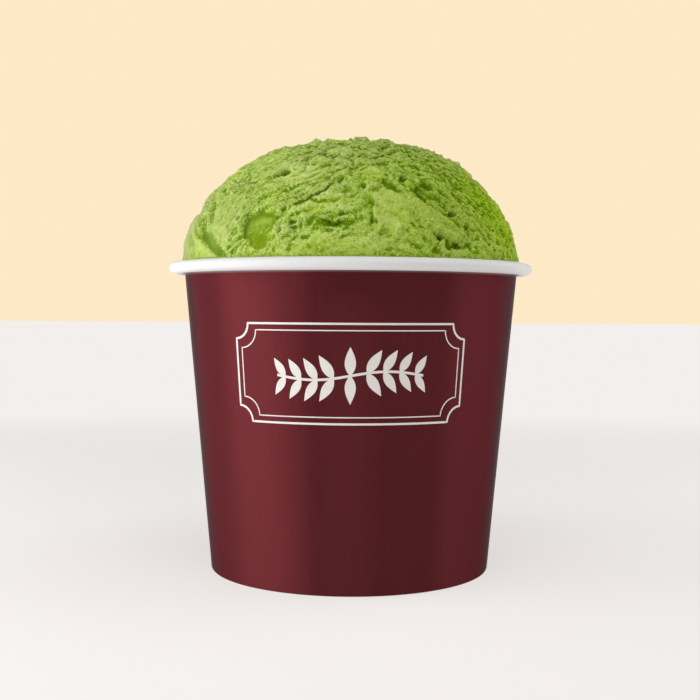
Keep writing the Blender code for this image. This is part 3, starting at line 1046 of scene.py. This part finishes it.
def dome_directions(cells, lowest):
    """Unit vectors for a square grid laid over the dome: squares round the middle become circles
    (concentric map), and the circle's radius r becomes the angle 2 asin(r sin(limit / 2)) from the
    top, which keeps the cells' area even."""
    side = np.linspace(-1, 1, cells + 1)
    a, b = np.meshgrid(side, side, indexing="ij")
    wide = np.abs(a) > np.abs(b)
    radius = np.where(wide, a, b)
    safe = np.where(radius == 0, 1, radius)
    turn = np.where(wide, math.pi / 4 * b / safe, math.pi / 2 - math.pi / 4 * a / safe)
    x, y = radius * np.cos(turn), radius * np.sin(turn)
    limit = math.pi / 2 - lowest
    reach = np.hypot(x, y)
    polar = 2 * np.arcsin(np.clip(reach, 0, 1) * math.sin(limit / 2))
    scale = np.where(reach > 0, np.sin(polar) / np.where(reach > 0, reach, 1), 0)
    return np.stack([x * scale, y * scale, np.cos(polar)], axis=2).reshape(-1, 3)


def grid_rim(cells):
    """Indices of the square grid's border, once round: anticlockwise seen from above the dome."""
    n = cells + 1
    index = np.arange(n * n).reshape(n, n)
    return np.concatenate([index[:-1, 0], index[-1, :-1], index[:0:-1, -1], index[0, :0:-1]])


def area_share(points, areas, radius):
    """1 inside any of the oval areas and 0 outside all of them, with soft edges."""
    return np.max([ease(1.25, 0.8, mark_offset(points, *area, radius)) for area in areas.values()], axis=0)


def bell(points, area, radius):
    """1 in the middle of an oval area, falling off as e to the minus square of the offset."""
    return np.exp(-mark_offset(points, *area, radius) ** 2)


LIP_REACH = 1.1  # how far back from a ledge's edge the lip is pushed over it, in mm


def scoop_marks(flat, torn, radius):
    """Heights, sideways shifts, smoothness and basins' depths that the marks of the scoop add up to.
    Dents are bells. A basin's wall eases down over its width, wider on its shallow side, and its floor
    tilts. A ledge rises on the left of its path and drops on the right, each fading over its reach;
    ridges fade to both sides, and both taper off at their ends. Pits ease down to a flat floor."""
    height = np.zeros(len(flat))
    shift = np.zeros((len(flat), 3))
    smooth = np.zeros(len(flat))
    basin = np.zeros(len(flat))
    for *area, depth in DENTS.values():
        height -= depth * bell(torn, area, radius)
    for name, (places, depth, wall, turn, share, calm) in BASINS.items():
        for corners, way in with_twin(name, places, turn):
            inside, x, y = inside_outline(torn, corners, radius)
            tilt = x * math.cos(math.radians(way)) + y * math.sin(math.radians(way))
            tilt = np.clip(tilt, -1, 1)
            slope = wall * (1 + 5 * share * ease(0.3, -0.7, tilt))
            sunk = ease(-slope * 0.4, slope, inside)
            basin += depth * sunk * (1 + share * tilt)
            smooth = np.maximum(smooth, sunk * calm)
    height -= basin
    for name, (places, rise, rise_reach, drop, drop_reach, lip) in LEDGES.items():
        for path, _ in with_twin(name, places):
            near, d, along, left = beside_path(torn, path, radius, 3 * max(rise_reach, drop_reach))
            taper = ease(0, 0.3, along) * ease(1, 0.7, along)
            above = ease(-0.22, 0.22, d)
            over = rise * np.exp(-((d / rise_reach) ** 2))
            under = drop * np.exp(-((d / drop_reach) ** 2))
            height[near] += taper * (above * over - (1 - above) * under)
            hang = lip * above * np.exp(-((d / LIP_REACH) ** 2)) * taper
            shift[near] -= left * hang[:, None]
    for name, (places, rise, wide) in RIDGES.items():
        for path, _ in with_twin(name, places):
            near, d, along, _ = beside_path(torn, path, radius, 3 * wide)
            taper = ease(-0.05, 0.2, along) * ease(1.05, 0.8, along)
            height[near] += rise * taper * np.exp(-((d / wide) ** 2))
    for name, group in PITS.items():
        for place, slope, *size, depth, soft in group:
            for (middle,), way in with_twin(name, [place], slope):
                offset = mark_offset(torn, middle, way, *size, radius)
                height -= depth * ease(1 + soft, 1 - soft, offset)
    return height, shift, smooth, basin


def streaks(points, radius):
    """Fine ridges dragged along the streaked areas: noise stretched along each one's slope, bent by a
    slower noise, folded at zero so that its crests are sharp, and broken up by a third."""
    height = np.zeros(len(points))
    for k, (place, slope, *size, spacing, rise, stretch) in enumerate(STREAKED.values()):
        share = ease(1.25, 0.7, mark_offset(points, place, slope, *size, radius))
        near = np.flatnonzero(share > 0)
        along, aside, _ = seen_from(points[near], place, slope, radius)
        bent = aside + 0.35 * lattice_noise(points[near] / 3.5, 90 + k)
        drawn = np.stack([along / stretch, bent, np.full(len(near), k * spacing)], axis=1) / spacing
        fold = 0.5 - 1.6 * np.abs(lattice_noise(drawn, 95))
        broken = 0.6 + 0.8 * lattice_noise(points[near] / 2.4, 130 + k)
        height[near] += rise * share[near] * fold * broken
    return height


def creased(points, size, seed):
    """Noise folded at zero and turned over, so that its crests are sharp."""
    return 0.5 - 1.7 * np.abs(lattice_noise(points / size, seed))


def billows(points, size, seed):
    """The size of a noise, which is round above and sharp below."""
    return np.abs(lattice_noise(points / size, seed)) - 0.3


def crag_finish(points, radius):
    """Surface torn by the scoop: creased noise drawn out two and a half times along the way the scoop
    went, which turns from rising on the left to falling on the right. A second, finer layer is
    stronger on the crests of the first, and both grow to the right and to the top."""
    right = ease(-0.1, 0.5, points[:, 0] / radius)
    top = ease(0.62, 0.88, points[:, 2] / radius)
    total = np.zeros(len(points))
    for place, slope, share in (((-15, 42), 38, 1 - right), ((36, 32), -48, right)):
        level = aim(place[0] + 90, 0)
        turn = math.radians(slope)
        way = level * math.cos(turn) + np.cross(aim(*place), level) * math.sin(turn)
        drawn = points - 0.6 * np.outer(points @ way, way)
        coarse = creased(drawn, 2.7, 101)
        fine = creased(drawn, 1.2, 103) * (0.7 + coarse)
        total += share * (0.42 * coarse + 0.24 * (1 + 0.6 * right) * fine)
    return total * (1 + 0.45 * right) * (1 + 1.15 * top)


def crumb_finish(points):
    """Heaped crumbs: rounded lumps round random points, some standing higher than others, with cracks
    between them, broken up by two sizes of billows."""
    first, second, tint = cell_noise(points * (0.85, 1, 1.15) / 3.2, 61)
    crack = np.exp(-(((second - first) / 0.14) ** 2)) * ease(-0.3, 0.5, lattice_noise(points / 3.0, 67))
    lumps = 0.70 * (0.40 - first**2) + 0.30 * tint - 0.45 * crack
    return lumps + 1.60 * billows(points, 3.0, 63) + 0.55 * billows(points, 1.3, 65)


def grain_finish(points):
    """Plain frozen surface: fine unevenness and scattered pores."""
    first, _, tint = cell_noise(points / 1.5, 81)
    pores = ease(0.15, 0.45, tint) * np.exp(-((first / 0.27) ** 2))
    return 0.34 * layered_noise(points / 1.9, 83, 3, 0.85) - 0.30 * pores


def torn_finish(points):
    """Low overlapping scales, torn as the scoop went by: a saw wave along the way of the scoop,
    bent by noise, in patches."""
    way = points @ np.array((0.55, 0.30, 0.78)) + 1.5 * layered_noise(points / 4.0, 85, 2)
    saw = way / 3.3 - np.floor(way / 3.3)
    patch = ease(0.02, 0.35, layered_noise(points / 8.0, 87, 2))
    return 0.26 * (saw - 0.5) * patch


NEAR = 2  # half windows that a height is compared with, in grid cells
BROAD = 9


def cream_relief(out, radius, cells):
    """Height of the rough surface above the smooth dome in mm, its sideways shift, how smooth each point
    is and how much painted shade it gets. The finishes are added up, each in its share: crumbs where
    the surface is crumbly, torn scales, grain and crags where it is rough. The painted shade compares
    the height with its mean over a near and a broad window: deeper in hollows and paler on crests, a
    painted highlight. It adds painted shade at the foot of a basin's wall and on its floor, and the
    painted light and shade listed by place."""
    flat = out * radius
    torn = flat + 0.42 * noise_shift(flat, 3.2, 3) + 0.32 * noise_shift(flat, 1.1, 7)
    marks, shift, calm, basin = scoop_marks(flat, torn, radius)
    ragged = flat + 0.9 * noise_shift(flat, 4.5, 13) + 0.35 * noise_shift(flat, 1.4, 17)
    crumbly = area_share(ragged, CRUMBLY, radius) * (1 - calm)
    smooth = np.maximum(calm, 0.6 * area_share(ragged, SMOOTH, radius) * (1 - crumbly))
    rough = 1 - smooth
    first, second, tint = cell_noise(ragged * (1, 1, 1.4) / 5.2, 41)
    plates = 0.13 * tint * ease(0.0, 0.22, second - first)
    patches = 0.5 + 0.5 * ease(-0.2, 0.2, layered_noise(flat / 7, 43, 2))
    height = 0.45 * layered_noise(flat / 17, 21, 2) + 0.30 * layered_noise(ragged / 6.0, 25, 2)
    height += marks + rough * plates + streaks(torn, radius)
    height += crumbly * crumb_finish(ragged) * patches
    height += (1 - crumbly) * rough * torn_finish(ragged)
    height += (1 - 0.6 * crumbly) * (0.15 + 0.85 * rough) * grain_finish(ragged)
    height += (1 - 0.4 * crumbly) * (0.08 + 0.92 * rough) * crag_finish(ragged, radius)
    height += rough * 0.32 * layered_noise(ragged / 3.8, 71, 2)
    height -= height.mean()
    level = (height + basin).reshape(cells + 1, cells + 1)
    sunk = basin.reshape(cells + 1, cells + 1)
    near = (box_blur(level, NEAR) - level).ravel()
    broad = (box_blur(level, BROAD) - level).ravel()
    foot = (sunk - box_blur(sunk, NEAR)).ravel()
    # Painted shade: deeper where the height lies below its near and broad means, paler, a painted
    # highlight, where above them, and stronger towards the top.
    painted_shade = np.where(near > 0, 1.4, 1.7) * near + np.where(broad > 0, 0.50, 0.22) * broad
    painted_shade *= 1.06 + 0.30 * ease(0.6, 0.85, out[:, 2])
    # Painted shade at the foot of a basin's wall, over its floor, and more on calm floors.
    painted_shade += np.maximum(foot, 0) + 0.07 * np.clip(basin, 0, 2) + 0.31 * calm * (basin > 0)
    # Painted light and shade listed by place.
    for *area, amount in PAINTED_LIGHT_AND_SHADE.values():
        painted_shade -= amount * bell(torn, area, radius)
    return height, shift, smooth, np.clip(0.4 + painted_shade, 0, 1)


SINK = 0.06 * MM  # how far the cream reaches into the board


class OBJECT_OT_ice_cream(bpy.types.Operator):
    """Make the ice cream: dome, lap over the rim and the part inside the tub"""

    bl_idname = "object.ice_cream"
    bl_label = "Ice Cream"

    def execute(self, context):
        """The dome's radius in a direction is that of a rounded box (a superellipse) plus the relief;
        at its lowest ring the relief fades, so that the skirt meets it smoothly."""
        tub, cream = context.scene.tub, context.scene.cream
        radius, rise, power = cream.dome_radius / MM, cream.dome_rise / MM, cream.squareness
        out = dome_directions(cream.cells, cream.lip)
        height, shift, smooth, painted_shade = cream_relief(out, radius, cream.cells)
        wide, high = np.hypot(out[:, 0], out[:, 1]) / radius, np.abs(out[:, 2]) / rise
        reach = (wide**power + high**power) ** (-1 / power)
        grown = ease(cream.lip + 0.01, cream.lip + 0.10, np.arcsin(out[:, 2]))
        rough = out * (reach + height * (0.35 + 0.65 * grown))[:, None] + shift * grown[:, None]
        dome = rough * MM + (0, 0, cream.dome_centre)
        rim = grid_rim(cream.cells)
        rings = self.skirt(tub, dome[rim])
        points = np.vstack([dome, rings.reshape(-1, 3), [(0, 0, rings[-1, 0, 2])]])
        loops = np.vstack([rim[None], len(dome) + np.arange(rings.size // 3).reshape(-1, len(rim))])
        beside = np.roll(loops, -1, axis=1)
        sides = np.stack([loops[:-1], loops[1:], beside[1:], beside[:-1]], axis=2).reshape(-1, 4)
        faces = quads(cream.cells + 1, cream.cells + 1, False, False) + sides.tolist()
        faces += fan(len(points) - 1, loops[-1][::-1])
        made = new_piece("ice_cream_body", points, faces, cream_material(cream))
        values = {"painted_shade": (painted_shade, 0.5), "smooth": (smooth, 0.5)}  # on the dome, and below it
        for name, areas in COLOUR_AREAS.items():
            offsets = [(full, mark_offset(out * radius, *area, radius)) for full, *area in areas]
            values[name] = (np.max([full * ease(1.35, 0.35, far) for full, far in offsets], axis=0), 0)
        for name, (dome_values, below) in values.items():
            skirt_values = np.full(len(points) - len(dome), below)
            set_attribute(made, name, np.concatenate([dome_values, skirt_values]))
        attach(made, "root")
        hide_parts("ice_cream")
        return {"FINISHED"}

    def skirt(self, tub, ring):
        """Rings below the dome: a rounded lip, the lap that lies on the roll's inner shoulder, and
        the straight side that reaches just into the wall down to the base."""
        r, z = np.linalg.norm(ring[:, :2], axis=1), ring[:, 2]
        away = ring[:, :2] / r[:, None]
        middle, roll_z = roll_centre(tub)
        wide, high = tub.roll_width / 2 - SINK, tub.roll_height / 2 - SINK
        touch = np.clip(r - 0.4 * MM, middle - wide * 0.8, middle + wide * 0.4)
        angle = np.arccos((touch - middle) / wide)
        touch_z = roll_z + high * np.sin(angle)
        rows = []
        for turn in np.linspace(0, math.pi / 2, 5)[1:]:
            rows.append((touch + (r - touch) * math.cos(turn), z + (touch_z - z) * math.sin(turn)))
        for share in np.linspace(0, 1, 5)[1:]:
            lap = angle + (math.pi - angle) * share
            rows.append((middle + wide * np.cos(lap), roll_z + high * np.sin(lap)))
        low = BASE_TOP - SINK
        rows.append((np.full(len(r), wall_inner(tub, low) + SINK), np.full(len(r), low)))
        return np.stack([np.column_stack([away * row_r[:, None], row_z]) for row_r, row_z in rows])


# ---------------------------------------------------------------- stage

# Area lights: place, the axis along which they shine, towards where it is 0, width and height, and
# radiance.
LIGHTS = {
    "left_low": ((-0.25, -0.225, 0.055), "x", (0.45, 0.11), 3.75),
    "left_back": ((-0.25, 0.125, 0.06), "x", (0.25, 0.12), 2.0),
    "left_high": ((-0.25, -0.10, 0.36), "x", (0.20, 0.48), 1.8),
    "front_left": ((-0.265, -0.50, 0.30), "y", (0.27, 0.60), 0.15),
    "top_front": ((0, -0.265, 0.50), "z", (0.26, 0.27), 3.9),
    "top_right": ((0.265, 0, 0.50), "z", (0.27, 0.26), 1.72),
    "right_high": ((0.25, -0.10, 0.40), "x", (0.70, 0.40), 0.55),
    "right_low": ((0.25, 0.075, 0.10), "x", (0.35, 0.20), 0.95),
}


def area_light(name, place, axis, size, radiance):
    """A soft rectangular light that the camera doesn't see; radiance is its brightness."""
    data = bpy.data.lights.new(name, "AREA")
    data.shape = "RECTANGLE"
    data.size, data.size_y = size
    data.energy = radiance * math.pi * size[0] * size[1]
    lamp = bpy.data.objects.new(name, data)
    lamp.location = place
    ahead = Vector((0, 0, 0))
    setattr(ahead, axis, -getattr(lamp.location, axis))
    lamp.rotation_euler = ahead.to_track_quat("-Z", "Y").to_euler()
    lamp.visible_camera = False
    bpy.context.scene.collection.objects.link(lamp)


class OBJECT_OT_ice_cream_stage(bpy.types.Operator):
    """Make the floor, the soft lights, the pale surroundings and the camera"""

    bl_idname = "object.ice_cream_stage"
    bl_label = "Stage"

    def execute(self, context):
        stage = context.scene.ice_cream_stage
        self.floor(stage)
        self.world(context.scene, stage)
        for name, light in LIGHTS.items():
            area_light(name, *light)
        self.camera(context.scene, stage)
        context.scene.view_settings.view_transform = "Standard"
        return {"FINISHED"}

    def floor(self, stage):
        """A flat square, far wider than the view. Near the tub it takes shadows; away from it it
        glows evenly, so that the lights don't show on it."""
        half = 6.0
        shader = Shader("pale_floor")
        place = {0: shader.object_coordinates()}
        apart = shader.add("ShaderNodeVectorMath", place, operation="LENGTH").outputs["Value"]
        far = shader.ramp(apart, 0.12, 0.50)
        shader.set(
            Base_Color=shader.mix(far, shade(stage.floor, 0.42), (0, 0, 0)),
            Roughness=0.9,
            Specular_IOR_Level=0.1,
            Emission_Color=stage.floor,
            Emission_Strength=shader.ramp(far, 0, 1, 0.64, 1.0),
        )
        corners = [(-half, -half, 0), (half, -half, 0), (half, half, 0), (-half, half, 0)]
        mesh = bpy.data.meshes.new("floor")
        mesh.from_pydata(corners, [], [(0, 1, 2, 3)])
        mesh.materials.append(shader.material)
        made = bpy.data.objects.new("floor", mesh)
        bpy.context.scene.collection.objects.link(made)

    def world(self, scene, stage):
        """Pale all round for the camera, and a plain soft fill for everything else."""
        scene.world = bpy.data.worlds.new("pale_world")
        scene.world.use_nodes = True
        tree = scene.world.node_tree
        seen = tree.nodes.new("ShaderNodeLightPath").outputs["Is Camera Ray"]
        shown = tree.nodes.new("ShaderNodeMix")
        shown.data_type = "RGBA"
        shown.inputs[6].default_value = (stage.fill, stage.fill, stage.fill, 1)
        shown.inputs[7].default_value = (*stage.world, 1)
        tree.links.new(seen, shown.inputs["Factor"])
        tree.links.new(shown.outputs[2], tree.nodes["Background"].inputs["Color"])

    def camera(self, scene, stage):
        """Camera in front of the tub, that looks down a little and leans to one side."""
        data = bpy.data.cameras.new("camera")
        data.lens = stage.lens
        data.sensor_width = 36
        data.clip_start = 0.01
        made = bpy.data.objects.new("camera", data)
        place = Matrix.Translation((stage.aside, -stage.distance, stage.eye))
        tilt = Matrix.Rotation(math.pi / 2 - stage.pitch, 4, "X")
        made.matrix_world = place @ tilt @ Matrix.Rotation(stage.lean, 4, "Z")
        scene.collection.objects.link(made)
        scene.camera = made


class VIEW3D_PT_ice_cream(bpy.types.Panel):
    """Sidebar panel with the steps in the order they are made"""

    bl_label = "Pint of Ice Cream"
    bl_idname = "VIEW3D_PT_ice_cream"
    bl_space_type = "VIEW_3D"
    bl_region_type = "UI"
    bl_category = "Ice Cream"

    def draw(self, context):
        for operator in OPERATORS:
            self.layout.operator(operator.bl_idname)
        for name in SETTINGS:
            group = getattr(context.scene, name)
            column = self.layout.column()
            for key in group.__annotations__:
                column.prop(group, key)


SETTINGS = {
    "tub": TubSettings,
    "tub_print": PrintSettings,
    "cream": CreamSettings,
    "ice_cream_stage": StageSettings,
}
OPERATORS = (
    OBJECT_OT_tub_wall,
    OBJECT_OT_tub_base,
    OBJECT_OT_tub_print,
    OBJECT_OT_ice_cream,
    OBJECT_OT_ice_cream_stage,
)


def register():
    for made in (*SETTINGS.values(), *OPERATORS, VIEW3D_PT_ice_cream):
        bpy.utils.register_class(made)
    for name, group in SETTINGS.items():
        setattr(bpy.types.Scene, name, PointerProperty(type=group))


def unregister():
    for name in SETTINGS:
        delattr(bpy.types.Scene, name)
    for made in reversed((*SETTINGS.values(), *OPERATORS, VIEW3D_PT_ice_cream)):
        bpy.utils.unregister_class(made)


def main():
    register()
    bpy.ops.object.tub_wall()
    bpy.ops.object.tub_base()
    bpy.ops.object.tub_print()
    bpy.ops.object.ice_cream()
    bpy.ops.object.ice_cream_stage()
    bpy.context.view_layer.update()


if __name__ == "__main__":
    main()
